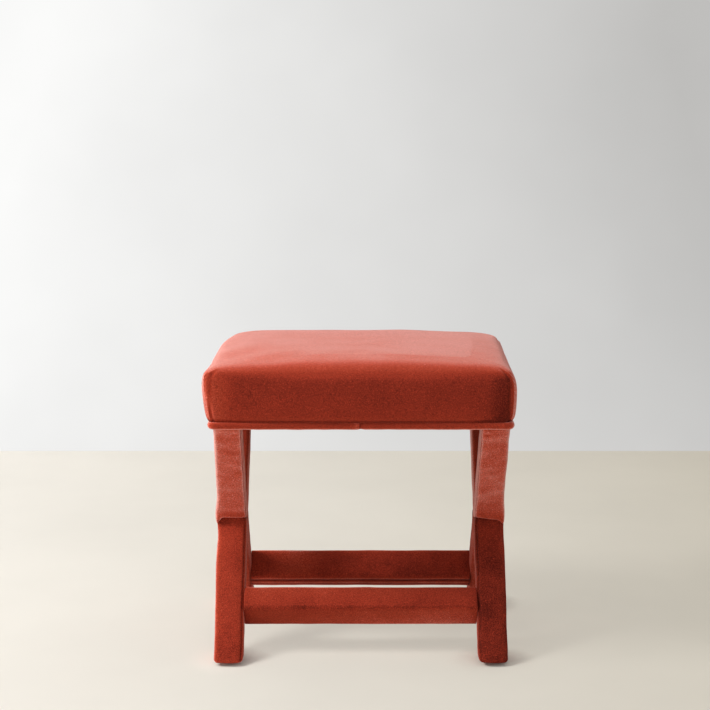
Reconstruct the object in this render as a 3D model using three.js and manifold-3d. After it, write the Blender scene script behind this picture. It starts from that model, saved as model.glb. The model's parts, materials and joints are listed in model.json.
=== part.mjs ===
// Upholstered vanity stool on two X frames, in millimetres.
// +Z is up, +X is to the right seen from the front, and -Y is the front.
// The origin is on the floor, under the middle of the seat.
import * as THREE from 'three'
import { mergeVertices } from 'three/addons/utils/BufferGeometryUtils.js'
import Module from 'manifold-3d'

// Clearances
const seatingGap = 0.3          // between pieces that touch
const cutOverrun = 6            // how far a cutting solid runs past what it cuts

// Covering and padding
const velvetThickness = 1.8
const legWaddingThickness = 4
const seatWaddingThickness = 6

// X frames: two crossed bars at each end of the stool, sizes over the velvet
const frameSetback = 12         // fullest part of the seat to the frames' outer faces and feet, all round
const frameHeight = 384
const legThickness = 46         // along X
const legWidth = 50             // across the bar, in the plane of the X
const legEdgeRadius = 8
const barEdgeRadius = 2         // eased edges of the timber

// Stretchers, sizes over the velvet
const stretcherWidth = 48       // across the legs
const stretcherThickness = 45   // along the legs
const stretcherHeight = 77      // floor to the stretcher's middle
const stretcherEdgeRadius = 8

// Glides
const glideRadius = 12
const glideRimRadius = 10
const glideHeight = 8
const glideChamfer = 1.6
const glideNailRadius = 1.6
const glideNailLength = 16

// Seat, sizes over the velvet at the fullest part of each side
const seatWidth = 500
const seatDepth = 412
const seatBow = 2.5             // how much fuller a side is in its middle than at its corners
const seatCornerRadius = 12
const topCornerEasing = 6       // how much rounder a corner is at the top
const topCornerFullness = 6     // how far a top corner stands out beyond the rounded edges beside it
const cornerSeamDepth = 1.4     // how far the sewn corner seam sinks
const cornerDrop = 6            // how far the cover is pulled down at the top corners
const bulgeHeight = 38          // welt to the fullest part of a side
const tuckInset = 8             // how far a side is drawn in above the welt
const tuckHeight = 1.2
const lowerInset = 3.5          // the drawn-in part, a little higher up
const lowerRise = 8
const shoulderInset = 3         // below the rounded top edge
const shoulderDrop = 27
const edgeInset = 14            // halfway round the top edge
const edgeDrop = 9.5
const crownInset = 38           // where the top edge runs out into the crown
const crownHeight = 3.5

// Seat frame
const railHeight = 38
const sideRailThickness = 30
const endRailThickness = 22     // front and rear rails
const railCornerRadius = 2      // outer corners of the seat frame
const railInset = 21            // fullest part of the side to the rail's face
const deckThickness = 12
const foamThickness = 44
const foamOverhang = 9          // beyond the deck's edge
const foamCornerRadius = 22
const foamEdgeRadius = 14
const foamCrown = 17            // how far the block's edges lie below its middle
const cornerBlockLeg = 42
const cornerBlockHeight = 28

// Welt round the bottom edge
const weltCordRadius = 4.3
const weltStripThickness = 1.3
const weltFlangeLength = 10
const weltCornerRadius = 1.2    // inside of the welt's corners
const weltWrapTurn = 1.4 * Math.PI // how far round the cord the strip goes
const dustCoverThickness = 0.8
const dustCoverMargin = 6       // inside the welt's middle line

// Fasteners
const seatBoltRadius = 3.5
const seatBoltHeadRadius = 6.5
const seatBoltHeadHeight = 5
const seatBoltSink = 6          // depth of the counterbore in the rail
const seatBoltSinkRadius = 9
const seatBoltBite = 30         // length in the leg
const seatBoltShift = 13        // from the leg's middle line, towards the middle of the stool
const stretcherScrewRadius = 2.5
const stretcherScrewHeadRadius = 4.6
const stretcherScrewHeadLength = 3
const stretcherScrewBite = 38   // length in the stretcher
const dowelRadius = 4
const dowelLength = 56
const dowelBite = 28            // length in the stretcher
const fastenerSpread = 9        // screw and dowel, each side of the stretcher's middle
const lapScrewRadius = 2
const lapScrewHeadRadius = 4
const lapScrewHeadLength = 2.6
const lapScrewTipMargin = 4     // timber left beyond the screw's tip

// Mesh fineness, in counts
const cornerSteps = 4
const longSideSteps = 6
const shortSideSteps = 4
const sideProfileSteps = 8
const crownRings = 5
const roundSteps = 16
const smallRoundSteps = 8
const hexagonSteps = 6
const edgeSteps = 3

const velvet = new THREE.MeshStandardMaterial({ color: '#9c3525', roughness: 0.85, metalness: 0 })
const wadding = new THREE.MeshStandardMaterial({ color: '#efeee8', roughness: 1, metalness: 0 })
const foam = new THREE.MeshStandardMaterial({ color: '#e8dca6', roughness: 1, metalness: 0 })
const hardwood = new THREE.MeshStandardMaterial({ color: '#c49a6c', roughness: 0.7, metalness: 0 })
const plywood = new THREE.MeshStandardMaterial({ color: '#d3b489', roughness: 0.75, metalness: 0 })
const cambric = new THREE.MeshStandardMaterial({ color: '#161616', roughness: 1, metalness: 0 })
const cotton = new THREE.MeshStandardMaterial({ color: '#e9e4d6', roughness: 1, metalness: 0 })
const zincSteel = new THREE.MeshStandardMaterial({ color: '#b9bcc0', roughness: 0.35, metalness: 1 })
const nylon = new THREE.MeshStandardMaterial({ color: '#1c1a19', roughness: 0.5, metalness: 0 })

const wasm = await Module()
wasm.setup()

// Places worked out from the sizes above
const frameDepth = seatDepth - 2 * frameSetback
const frameOuterHalfSpan = seatWidth / 2 - frameSetback
const legBottom = glideHeight + seatingGap
const legTop = legBottom + frameHeight
const crossingHeight = (legBottom + legTop) / 2
const legMiddle = frameOuterHalfSpan - legThickness / 2
const frameDiagonal = Math.hypot(frameDepth, frameHeight)
const legTilt = Math.acos(legWidth / frameDiagonal) - Math.atan2(frameHeight, frameDepth)
const footReach = frameDepth / 2 - legWidth / 2 / Math.cos(legTilt) // middle of a foot or leg top, along Y
const waddingInset = velvetThickness + seatingGap
const waddingCavityInset = waddingInset + legWaddingThickness
const coreInset = waddingCavityInset + seatingGap
const coreBottom = legBottom + waddingInset
const coreOuterFace = frameOuterHalfSpan - coreInset
const coreInnerFace = frameOuterHalfSpan - legThickness + coreInset
const stretcherHalfLength = frameOuterHalfSpan - legThickness - seatingGap
const dustCoverBottom = legTop + seatingGap
const weltBottom = dustCoverBottom + dustCoverThickness + seatingGap
const weltRadius = weltCordRadius + seatingGap + weltStripThickness
const weltMiddle = weltBottom + weltRadius
const weltTop = weltBottom + 2 * weltRadius
const railBottom = weltBottom + weltStripThickness + seatingGap
const railTop = railBottom + railHeight
const deckBottom = railTop + seatingGap
const foamBottom = deckBottom + deckThickness + seatingGap
const foamTop = foamBottom + foamThickness
const seatTop = foamTop + seatWaddingThickness + velvetThickness + 2 * seatingGap
const railHalfWidth = seatWidth / 2 - railInset
const railHalfDepth = seatDepth / 2 - railInset
const weltReach = seatingGap + velvetThickness + seatingGap + weltRadius
const stool = new THREE.Group()

// A named piece of the stool
function addPiece(name, geometry, material) {
  const mesh = new THREE.Mesh(geometry, material)
  mesh.name = name
  stool.add(mesh)
}

// A closed three.js geometry as a solid that can be cut
function toSolid(geometry) {
  const bare = geometry.clone()
  bare.deleteAttribute('normal')
  bare.deleteAttribute('uv')
  const merged = mergeVertices(bare)
  return new wasm.Manifold(new wasm.Mesh({
    numProp: 3,
    vertProperties: new Float32Array(merged.attributes.position.array),
    triVerts: new Uint32Array(merged.index.array)
  }))
}

function toGeometry(solid) {
  const mesh = solid.getMesh()
  const geometry = new THREE.BufferGeometry()
  geometry.setAttribute('position', new THREE.BufferAttribute(new Float32Array(mesh.vertProperties), 3))
  geometry.setIndex(new THREE.BufferAttribute(new Uint32Array(mesh.triVerts), 1))
  geometry.computeVertexNormals()
  return geometry
}

// A box between its lowest and highest corners
function boxBetween(low, high) {
  const size = new THREE.Vector3().subVectors(high, low)
  const middle = new THREE.Vector3().addVectors(low, high).multiplyScalar(0.5)
  const box = new THREE.BoxGeometry(size.x, size.y, size.z)
  box.translate(middle.x, middle.y, middle.z)
  return box
}

// A prism with rounded edges: section across X and Y, length along Z, centred on the origin
function roundedBar(thickness, width, length, edgeRadius) {
  const halfX = thickness / 2
  const halfY = width / 2
  const r = edgeRadius
  const section = new THREE.Shape()
  section.moveTo(halfX, r - halfY)
  section.absarc(halfX - r, halfY - r, r, 0, Math.PI / 2)
  section.absarc(r - halfX, halfY - r, r, Math.PI / 2, Math.PI)
  section.absarc(r - halfX, r - halfY, r, Math.PI, 3 * Math.PI / 2)
  section.absarc(halfX - r, r - halfY, r, 3 * Math.PI / 2, 2 * Math.PI)
  const bar = new THREE.ExtrudeGeometry(section, {
    depth: length, bevelEnabled: false, curveSegments: edgeSteps
  })
  bar.translate(0, 0, -length / 2)
  return bar
}

// A piece turned about +Z from [radius, height] points that start and end on the axis
function turnedPiece(profile, steps) {
  const points = profile.map(([radius, height]) => new THREE.Vector2(radius, height))
  return new THREE.LatheGeometry(points, steps).rotateX(Math.PI / 2)
}

// A plain rod along +Z, or the cutter for a round hole
function roundRod(radius, low, high, steps) {
  return turnedPiece([[0, low], [radius, low], [radius, high], [0, high]], steps)
}

// Joins rings of points, each with the same count, into one closed skin. Each four-sided face is split
// from its lower ring's first corner, so that skins which lie inside each other are split alike.
function loftRings(rings, ends) {
  const count = rings[0].length
  const positions = []
  const faces = []
  for (const ring of rings) for (const point of ring) positions.push(point.x, point.y, point.z)
  const spans = ends === 'loop' ? rings.length : rings.length - 1
  for (let i = 0; i < spans; i++) {
    const here = i * count
    const after = (i + 1) % rings.length
    const next = after * count
    const rises = rings[after].some((point, j) => point.z > rings[i][j].z)
    for (let j = 0; j < count; j++) {
      const k = (j + 1) % count
      if (rises) faces.push(here + j, here + k, next + k, here + j, next + k, next + j)
      else faces.push(here + j, here + k, next + j, here + k, next + k, next + j)
    }
  }
  if (ends !== 'loop') {
    const first = positions.length / 3
    const last = first + 1
    for (const centre of ends) positions.push(centre.x, centre.y, centre.z)
    const lastRing = (rings.length - 1) * count
    for (let j = 0; j < count; j++) {
      const k = (j + 1) % count
      faces.push(first, k, j)
      faces.push(last, lastRing + j, lastRing + k)
    }
  }
  const skin = new THREE.BufferGeometry()
  skin.setAttribute('position', new THREE.BufferAttribute(new Float32Array(positions), 3))
  skin.setIndex(faces)
  skin.computeVertexNormals()
  return skin
}

// Points round a rectangle with rounded corners and bowed sides. Each says how near a corner it is.
function planOutline(halfWidth, halfDepth, cornerRadius, bow, seamDepth) {
  const flatX = halfWidth - bow - cornerRadius
  const flatY = halfDepth - bow - cornerRadius
  const points = []
  const sides = [
    { turn: 0, half: flatY, reach: halfWidth - bow, steps: shortSideSteps },
    { turn: 1, half: flatX, reach: halfDepth - bow, steps: longSideSteps },
    { turn: 2, half: flatY, reach: halfWidth - bow, steps: shortSideSteps },
    { turn: 3, half: flatX, reach: halfDepth - bow, steps: longSideSteps }
  ]
  for (const side of sides) {
    const out = new THREE.Vector2(1, 0).rotateAround(new THREE.Vector2(), side.turn * Math.PI / 2)
    const along = new THREE.Vector2(-out.y, out.x)
    for (let i = 0; i < side.steps; i++) {
      const share = Math.sin(Math.PI / 2 * (2 * i / side.steps - 1))
      const reach = side.reach + bow * (1 - share ** 2)
      const place = out.clone().multiplyScalar(reach).addScaledVector(along, share * side.half)
      points.push({ x: place.x, y: place.y, corner: share ** 8 })
    }
    const centre = out.clone().multiplyScalar(side.reach - cornerRadius).addScaledVector(along, side.half)
    for (let i = 0; i < cornerSteps; i++) {
      const share = i / cornerSteps
      const angle = share * Math.PI / 2
      const sunk = 2 * i === cornerSteps ? seamDepth : 0
      const place = centre.clone()
      place.addScaledVector(out, (cornerRadius - sunk) * Math.cos(angle))
      place.addScaledVector(along, (cornerRadius - sunk) * Math.sin(angle))
      points.push({ x: place.x, y: place.y, corner: 1 })
    }
  }
  return points
}

// Seat cushion form

// The velvet's profile up a side and over the top edge, as inset from the fullest part against height
const sideProfile = new THREE.SplineCurve([
  new THREE.Vector2(tuckInset, weltTop + tuckHeight),
  new THREE.Vector2(lowerInset, weltTop + lowerRise),
  new THREE.Vector2(0, weltTop + bulgeHeight),
  new THREE.Vector2(shoulderInset, seatTop - shoulderDrop),
  new THREE.Vector2(edgeInset, seatTop - edgeDrop),
  new THREE.Vector2(crownInset, seatTop - crownHeight)
])

// One ring of the cushion form, sunk inwards by an offset from the velvet's face
function profileRing(share, offset, seamDepth) {
  const place = sideProfile.getPoint(share)
  const tangent = sideProfile.getTangent(share)
  const inset = place.x + offset * tangent.y
  const height = place.y - offset * tangent.x
  const full = weltTop + bulgeHeight
  const pulled = THREE.MathUtils.smoothstep(place.y, full, seatTop - crownHeight)
  const outline = planOutline(
    seatWidth / 2 - inset, seatDepth / 2 - inset,
    seatCornerRadius - offset * tangent.y + pulled * topCornerEasing, seatBow, seamDepth
  )
  return outline.map(point => {
    const pull = pulled * point.corner
    return new THREE.Vector3(
      point.x + Math.sign(point.x) * pull * topCornerFullness,
      point.y + Math.sign(point.y) * pull * topCornerFullness,
      height - pull * cornerDrop
    )
  })
}

// A low dome from its edge ring in to the middle, where a corner's drop dies out sooner than the crown
function crownedTop(edge, topHeight) {
  const edgeHeight = Math.max(...edge.map(point => point.z))
  const rings = []
  for (let i = 1; i < crownRings; i++) {
    const scale = 1 - (i / crownRings) ** 1.5
    const level = topHeight - (topHeight - edgeHeight) * scale ** 3
    rings.push(edge.map(point => new THREE.Vector3(
      point.x * scale, point.y * scale, level - (edgeHeight - point.z) * scale ** 8
    )))
  }
  return { rings, middle: new THREE.Vector3(0, 0, topHeight) }
}

// Rings of the cushion form from one share of the side profile to its top edge
function sideRings(fromShare, steps, offset, seamDepth) {
  const rings = []
  for (let i = 0; i <= steps; i++) {
    rings.push(profileRing(fromShare + (1 - fromShare) * i / steps, offset, seamDepth))
  }
  return rings
}

// A level ring round the rails, at a distance from their faces
function railRing(distance, height) {
  const outline = planOutline(
    railHalfWidth + distance, railHalfDepth + distance, railCornerRadius + distance, 0, 0
  )
  return outline.map(point => new THREE.Vector3(point.x, point.y, height))
}

// The velvet, pulled over the cushion and down the rails, open below
function seatCover() {
  const face = seatingGap
  const outer = sideRings(0, sideProfileSteps, 0, cornerSeamDepth)
  const outerTop = crownedTop(outer[outer.length - 1], seatTop)
  const inner = sideRings(0, sideProfileSteps, velvetThickness, 0).slice(1)
  const innerTop = crownedTop(inner[inner.length - 1], seatTop - velvetThickness)
  const foot = [
    railRing(face, weltTop + tuckHeight + velvetThickness),
    railRing(face, railBottom),
    railRing(face + velvetThickness, railBottom),
    railRing(face + velvetThickness, weltTop)
  ]
  const rings = [...innerTop.rings.reverse(), ...inner.reverse(), ...foot, ...outer, ...outerTop.rings]
  return loftRings(rings, [innerTop.middle, outerTop.middle])
}

// Rings up the foam block and over its edges, at a distance outside its faces
function foamRings(distance) {
  const halfWidth = railHalfWidth + foamOverhang
  const halfDepth = railHalfDepth + foamOverhang
  const level = (inset, z) => planOutline(
    halfWidth + distance - inset, halfDepth + distance - inset, foamCornerRadius + distance, 0, 0
  ).map(point => new THREE.Vector3(point.x, point.y, z))
  const top = foamTop - foamCrown + distance
  const rings = [level(0, foamBottom - distance)]
  for (let i = 0; i <= edgeSteps; i++) {
    const angle = i / edgeSteps * Math.PI / 2
    rings.push(level(foamEdgeRadius * (1 - Math.cos(angle)), top - foamEdgeRadius * (1 - Math.sin(angle))))
  }
  return rings
}

function seatFoam() {
  const rings = foamRings(0)
  const crown = crownedTop(rings[rings.length - 1], foamTop)
  return loftRings([...rings, ...crown.rings], [new THREE.Vector3(0, 0, foamBottom), crown.middle])
}

// The wadding between foam and velvet, open below, filling out the sides in front of the rails
function seatWadding() {
  const skinOffset = velvetThickness + seatingGap
  const lowShare = 1 / sideProfileSteps
  const outer = sideRings(lowShare, sideProfileSteps - 1, skinOffset, 0)
  const outerTop = crownedTop(outer[outer.length - 1], seatTop - skinOffset)
  const inner = foamRings(seatingGap)
  const innerTop = crownedTop(inner[inner.length - 1], foamTop + seatingGap)
  const hem = outer[0][0].z
  const rings = [
    ...innerTop.rings.reverse(), ...inner.reverse(),
    railRing(seatingGap, foamBottom - seatingGap), railRing(seatingGap, hem), ...outer, ...outerTop.rings
  ]
  return loftRings(rings, [innerTop.middle, outerTop.middle])
}

// Welt round the bottom edge: a cord in a strip of velvet whose flange lies under the rails

// Sweeps a section of [outward, up] points round the seat's bottom edge
function sweptRoundSeat(section) {
  const rings = section.map(([outward, up]) => planOutline(
    railHalfWidth + weltReach + outward, railHalfDepth + weltReach + outward,
    Math.max(weltCornerRadius + weltRadius + outward, weltCornerRadius), 0, 0
  ).map(point => new THREE.Vector3(point.x, point.y, weltMiddle + up)))
  return loftRings(rings, 'loop')
}

function weltCord() {
  const section = []
  for (let i = 0; i < smallRoundSteps; i++) {
    const angle = 2 * Math.PI * i / smallRoundSteps
    section.push([weltCordRadius * Math.cos(angle), weltCordRadius * Math.sin(angle)])
  }
  return sweptRoundSeat(section)
}

function weltStrip() {
  const wrapStart = -Math.PI / 2
  const innerRadius = weltCordRadius + seatingGap
  const section = [[-weltFlangeLength, -weltRadius]]
  for (let i = 0; i <= smallRoundSteps; i++) {
    const angle = wrapStart + weltWrapTurn * i / smallRoundSteps
    section.push([weltRadius * Math.cos(angle), weltRadius * Math.sin(angle)])
  }
  for (let i = smallRoundSteps; i >= 0; i--) {
    const angle = wrapStart + weltWrapTurn * i / smallRoundSteps
    section.push([innerRadius * Math.cos(angle), innerRadius * Math.sin(angle)])
  }
  section.push([-weltFlangeLength, -innerRadius])
  return sweptRoundSeat(section)
}

// Seat frame

// Where the four seat bolts stand, one over each upper leg
function seatBoltPlaces() {
  const places = []
  for (const [end, y] of [['front', -1], ['rear', 1]]) {
    for (const [side, x] of [['left', -1], ['right', 1]]) {
      places.push({ name: `${end}_${side}`, x: x * legMiddle, y: y * (footReach - seatBoltShift) })
    }
  }
  return places
}

function sideRail(sign) {
  const inner = railHalfWidth - sideRailThickness
  const low = new THREE.Vector3(sign > 0 ? inner : -railHalfWidth, -railHalfDepth, railBottom)
  const high = new THREE.Vector3(sign > 0 ? railHalfWidth : -inner, railHalfDepth, railTop)
  const frame = roundedBar(2 * railHalfWidth, 2 * railHalfDepth, 2 * railTop, railCornerRadius)
  let rail = toSolid(boxBetween(low, high)).intersect(toSolid(frame))
  for (const place of seatBoltPlaces().filter(one => one.x * sign > 0)) {
    const shaft = roundRod(
      seatBoltRadius + seatingGap, railBottom - cutOverrun, railTop + cutOverrun, smallRoundSteps
    )
    const sink = roundRod(seatBoltSinkRadius, railTop - seatBoltSink, railTop + cutOverrun, roundSteps)
    rail = rail.subtract(toSolid(shaft.translate(place.x, place.y, 0)))
    rail = rail.subtract(toSolid(sink.translate(place.x, place.y, 0)))
  }
  return toGeometry(rail)
}

function endRail(sign) {
  const halfLength = railHalfWidth - sideRailThickness - seatingGap
  const inner = railHalfDepth - endRailThickness
  const low = new THREE.Vector3(-halfLength, sign > 0 ? inner : -railHalfDepth, railBottom)
  const high = new THREE.Vector3(halfLength, sign > 0 ? railHalfDepth : -inner, railTop)
  return boxBetween(low, high)
}

// A three-cornered block glued into an inner corner of the rails
function cornerBlock(signX, signY) {
  const cornerX = railHalfWidth - sideRailThickness - seatingGap
  const cornerY = railHalfDepth - endRailThickness - seatingGap
  const plan = new THREE.Shape()
  plan.moveTo(0, 0)
  plan.lineTo(-signX * cornerBlockLeg, 0)
  plan.lineTo(0, -signY * cornerBlockLeg)
  const block = new THREE.ExtrudeGeometry(plan, { depth: cornerBlockHeight, bevelEnabled: false })
  block.translate(signX * cornerX, signY * cornerY, railTop - cornerBlockHeight)
  return block
}

function seatDeck() {
  const deck = roundedBar(2 * railHalfWidth, 2 * railHalfDepth, deckThickness, railCornerRadius)
  return deck.translate(0, 0, deckBottom + deckThickness / 2)
}

// The cloth stapled over the underside, with a hole for each bolt
function dustCover() {
  const reach = weltReach - dustCoverMargin
  const cloth = roundedBar(
    2 * (railHalfWidth + reach), 2 * (railHalfDepth + reach), dustCoverThickness, railCornerRadius + reach
  )
  let cover = toSolid(cloth.translate(0, 0, dustCoverBottom + dustCoverThickness / 2))
  for (const place of seatBoltPlaces()) {
    const hole = roundRod(
      seatBoltRadius + seatingGap, dustCoverBottom - cutOverrun, dustCoverBottom + cutOverrun, smallRoundSteps
    )
    cover = cover.subtract(toSolid(hole.translate(place.x, place.y, 0)))
  }
  return toGeometry(cover)
}

// A hexagon-headed bolt from the rail's counterbore down into a leg
function seatBolt() {
  const headBottom = railTop - seatBoltSink + seatingGap
  const head = roundRod(seatBoltHeadRadius, headBottom, headBottom + seatBoltHeadHeight, hexagonSteps)
  const shank = roundRod(
    seatBoltRadius, legTop - seatBoltBite, headBottom + seatBoltHeadHeight / 2, smallRoundSteps
  )
  return toGeometry(toSolid(head).add(toSolid(shank)))
}

// X frames

// A bar through the crossing, leaning back (+1) or forwards (-1) as it rises
function crossingBar(lean, inset, edgeRadius) {
  const length = frameDiagonal + 2 * legWidth
  const bar = roundedBar(legThickness - 2 * inset, legWidth - 2 * inset, length, edgeRadius)
  bar.rotateX(-lean * legTilt)
  return bar.translate(0, 0, crossingHeight)
}

// The quarter of the X frame's plane that one leg fills, between given heights
function quarterSpace(end, level, bottom, top, overrun) {
  const half = seatingGap / 2 - overrun
  const nearY = end < 0 ? -frameDepth : half
  const farY = end < 0 ? -half : frameDepth
  const lowZ = level < 0 ? bottom : crossingHeight + half
  const highZ = level < 0 ? crossingHeight - half : top
  return toSolid(boxBetween(
    new THREE.Vector3(-legThickness, nearY, lowZ), new THREE.Vector3(legThickness, farY, highZ)
  ))
}

// The cutter for the glide's nail in a foot
function nailHole(x, end) {
  const hole = roundRod(
    glideNailRadius + seatingGap, 0, glideHeight + glideNailLength + seatingGap, smallRoundSteps
  )
  return toSolid(hole.translate(x, end * footReach, 0))
}

// One leg's velvet: from the crossing out to a foot or to the seat, open where it meets other pieces
function legVelvet(end, level) {
  const lean = end * level
  const shell = toSolid(crossingBar(lean, 0, legEdgeRadius))
    .intersect(quarterSpace(end, level, legBottom, legTop, 0))
  const hollow = toSolid(crossingBar(lean, velvetThickness, legEdgeRadius - velvetThickness))
    .intersect(quarterSpace(end, level, legBottom + velvetThickness, legTop + cutOverrun, cutOverrun))
  const cover = shell.subtract(hollow)
  return level < 0 ? cover.subtract(nailHole(0, end)) : cover
}

function legWadding(end, level) {
  const lean = end * level
  const outerRadius = legEdgeRadius - waddingInset
  const wrap = toSolid(crossingBar(lean, waddingInset, outerRadius))
    .intersect(quarterSpace(end, level, coreBottom, legTop, 0))
  const hollow = toSolid(crossingBar(lean, waddingCavityInset, barEdgeRadius))
    .intersect(quarterSpace(end, level, coreBottom - cutOverrun, legTop + cutOverrun, cutOverrun))
  return wrap.subtract(hollow)
}

// One of the two crossed timbers, halved into the other where they cross
function legBar(side, lean) {
  const clearHalf = seatingGap / 2
  const cutSide = -side * lean
  const ends = toSolid(boxBetween(
    new THREE.Vector3(-legThickness, -frameDepth, coreBottom),
    new THREE.Vector3(legThickness, frameDepth, legTop)
  ))
  const bar = toSolid(crossingBar(lean, coreInset, barEdgeRadius)).intersect(ends)
  const other = toSolid(crossingBar(-lean, coreInset - seatingGap, barEdgeRadius))
  const low = new THREE.Vector3(cutSide < 0 ? -legThickness : -clearHalf, -frameDepth, coreBottom)
  const high = new THREE.Vector3(cutSide < 0 ? clearHalf : legThickness, frameDepth, legTop)
  return bar.subtract(other.intersect(toSolid(boxBetween(low, high))))
}

// Stretchers

// Middle of a stretcher, in the plane of the X frames
function stretcherPlace(end) {
  const run = Math.tan(legTilt) * (stretcherHeight - legBottom)
  return { y: end * (footReach - run), z: stretcherHeight }
}

// Turns a piece that lies along +X with its section square to Y and Z to the slope of the legs at one end
function setOnLegs(geometry, end) {
  const place = stretcherPlace(end)
  geometry.rotateX(end * legTilt)
  return geometry.translate(0, place.y, place.z)
}

function stretcherBar(end, inset, edgeRadius, halfLength) {
  const height = stretcherThickness - 2 * inset
  const bar = roundedBar(height, stretcherWidth - 2 * inset, 2 * halfLength, edgeRadius)
  bar.rotateY(Math.PI / 2)
  return setOnLegs(bar, end)
}

function stretcherVelvet(end) {
  const outer = toSolid(stretcherBar(end, 0, stretcherEdgeRadius, stretcherHalfLength))
  const hollow = stretcherBar(
    end, velvetThickness, stretcherEdgeRadius - velvetThickness, stretcherHalfLength + cutOverrun
  )
  return toGeometry(outer.subtract(toSolid(hollow)))
}

function stretcherWadding(end) {
  const outer = stretcherBar(end, waddingInset, stretcherEdgeRadius - waddingInset, stretcherHalfLength)
  const hollow = stretcherBar(end, waddingCavityInset, barEdgeRadius, stretcherHalfLength + cutOverrun)
  return toGeometry(toSolid(outer).subtract(toSolid(hollow)))
}

// Fasteners at one end of one stretcher. The same shapes, a clearance larger, cut the holes for them.

// Lays a piece turned about +Z along X, pointing inwards from one side, beside the stretcher's middle
function setInStretcher(geometry, side, end, shift) {
  geometry.rotateY(side * Math.PI / 2)
  geometry.translate(0, shift, 0)
  return setOnLegs(geometry, end)
}

function stretcherScrew(side, end, clearance) {
  const head = stretcherScrewHeadRadius + clearance
  const shank = stretcherScrewRadius + clearance
  const tip = stretcherHalfLength - stretcherScrewBite - clearance
  const neck = coreOuterFace - stretcherScrewHeadLength
  const top = coreOuterFace - seatingGap / 2 + clearance
  const rim = neck + stretcherScrewHeadLength / 2
  const screw = turnedPiece([
    [0, tip], [shank, tip], [shank, neck - clearance], [head, rim], [head, top], [0, top]
  ], smallRoundSteps)
  return setInStretcher(screw, side, end, -fastenerSpread)
}

function dowel(side, end, clearance) {
  const tip = stretcherHalfLength - dowelBite
  const radius = dowelRadius + clearance
  const rod = roundRod(radius, tip - clearance, tip + dowelLength + clearance, smallRoundSteps)
  return setInStretcher(rod, side, end, fastenerSpread)
}

function stretcherCore(end) {
  let core = toSolid(stretcherBar(end, coreInset, barEdgeRadius, stretcherHalfLength))
  for (const side of [-1, 1]) {
    core = core.subtract(toSolid(stretcherScrew(side, end, seatingGap)))
    core = core.subtract(toSolid(dowel(side, end, seatingGap)))
  }
  return toGeometry(core)
}

// A screw that holds the halved bars together, from the inner face of the frame
function lapScrew(side, clearance) {
  const head = lapScrewHeadRadius + clearance
  const shank = lapScrewRadius + clearance
  const start = coreInnerFace + seatingGap / 2 - clearance
  const neck = coreInnerFace + lapScrewHeadLength
  const tip = coreOuterFace - lapScrewTipMargin + clearance
  const rim = neck - lapScrewHeadLength / 2
  const screw = turnedPiece([
    [0, start], [head, start], [head, rim], [shank, neck + clearance], [shank, tip], [0, tip]
  ], smallRoundSteps)
  return screw.rotateY(side * Math.PI / 2).translate(0, 0, crossingHeight)
}

// A nylon glide with its nail, turned about the nail
function glide() {
  return turnedPiece([
    [0, 0], [glideRimRadius, 0], [glideRadius, glideChamfer], [glideRadius, glideHeight - glideChamfer],
    [glideRimRadius, glideHeight], [glideNailRadius, glideHeight],
    [glideNailRadius, glideHeight + glideNailLength], [0, glideHeight + glideNailLength]
  ], roundSteps)
}

// Assembly
const sides = [['left', -1], ['right', 1]]
const stoolEnds = [['front', -1], ['rear', 1]]
const levels = [['lower', -1], ['upper', 1]]

addPiece('seat_cover', seatCover(), velvet)
addPiece('seat_wadding', seatWadding(), wadding)
addPiece('seat_foam', seatFoam(), foam)
addPiece('seat_deck', seatDeck(), plywood)
addPiece('welt_cord', weltCord(), cotton)
addPiece('welt_strip', weltStrip(), velvet)
addPiece('dust_cover', dustCover(), cambric)
for (const [name, sign] of sides) addPiece(`${name}_rail`, sideRail(sign), hardwood)
for (const [name, sign] of stoolEnds) addPiece(`${name}_rail`, endRail(sign), hardwood)
for (const [endName, end] of stoolEnds) {
  for (const [sideName, side] of sides) {
    addPiece(`${endName}_${sideName}_corner_block`, cornerBlock(side, end), hardwood)
  }
}
for (const place of seatBoltPlaces()) {
  addPiece(`${place.name}_seat_bolt`, seatBolt().translate(place.x, place.y, 0), zincSteel)
}

for (const [sideName, side] of sides) {
  const shift = [side * legMiddle, 0, 0]
  const stretcherHoles = []
  for (const [, end] of stoolEnds) {
    stretcherHoles.push(toSolid(stretcherScrew(side, end, seatingGap)), toSolid(dowel(side, end, seatingGap)))
  }
  for (const [barName, lean] of [['rising', 1], ['falling', -1]]) {
    let bar = legBar(side, lean).translate(shift)
    for (const hole of stretcherHoles) bar = bar.subtract(hole)
    bar = bar.subtract(toSolid(lapScrew(side, seatingGap)))
    for (const place of seatBoltPlaces()) {
      const hole = roundRod(
        seatBoltRadius + seatingGap, legTop - seatBoltBite - seatingGap, legTop + cutOverrun, smallRoundSteps
      )
      bar = bar.subtract(toSolid(hole.translate(place.x, place.y, 0)))
    }
    for (const [, end] of stoolEnds) {
      bar = bar.subtract(nailHole(side * legMiddle, end))
    }
    addPiece(`${sideName}_${barName}_leg_bar`, toGeometry(bar), hardwood)
  }
  addPiece(`${sideName}_lap_screw`, lapScrew(side, 0), zincSteel)
  for (const [endName, end] of stoolEnds) {
    for (const [levelName, level] of levels) {
      let padding = legWadding(end, level).translate(shift)
      let cover = legVelvet(end, level).translate(shift)
      for (const hole of stretcherHoles) {
        padding = padding.subtract(hole)
        cover = cover.subtract(hole)
      }
      addPiece(`${sideName}_${endName}_${levelName}_leg_wadding`, toGeometry(padding), wadding)
      addPiece(`${sideName}_${endName}_${levelName}_leg_velvet`, toGeometry(cover), velvet)
    }
    addPiece(`${endName}_${sideName}_stretcher_screw`, stretcherScrew(side, end, 0), zincSteel)
    addPiece(`${endName}_${sideName}_stretcher_dowel`, dowel(side, end, 0), hardwood)
    addPiece(`${endName}_${sideName}_glide`, glide().translate(side * legMiddle, end * footReach, 0), nylon)
  }
}

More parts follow.
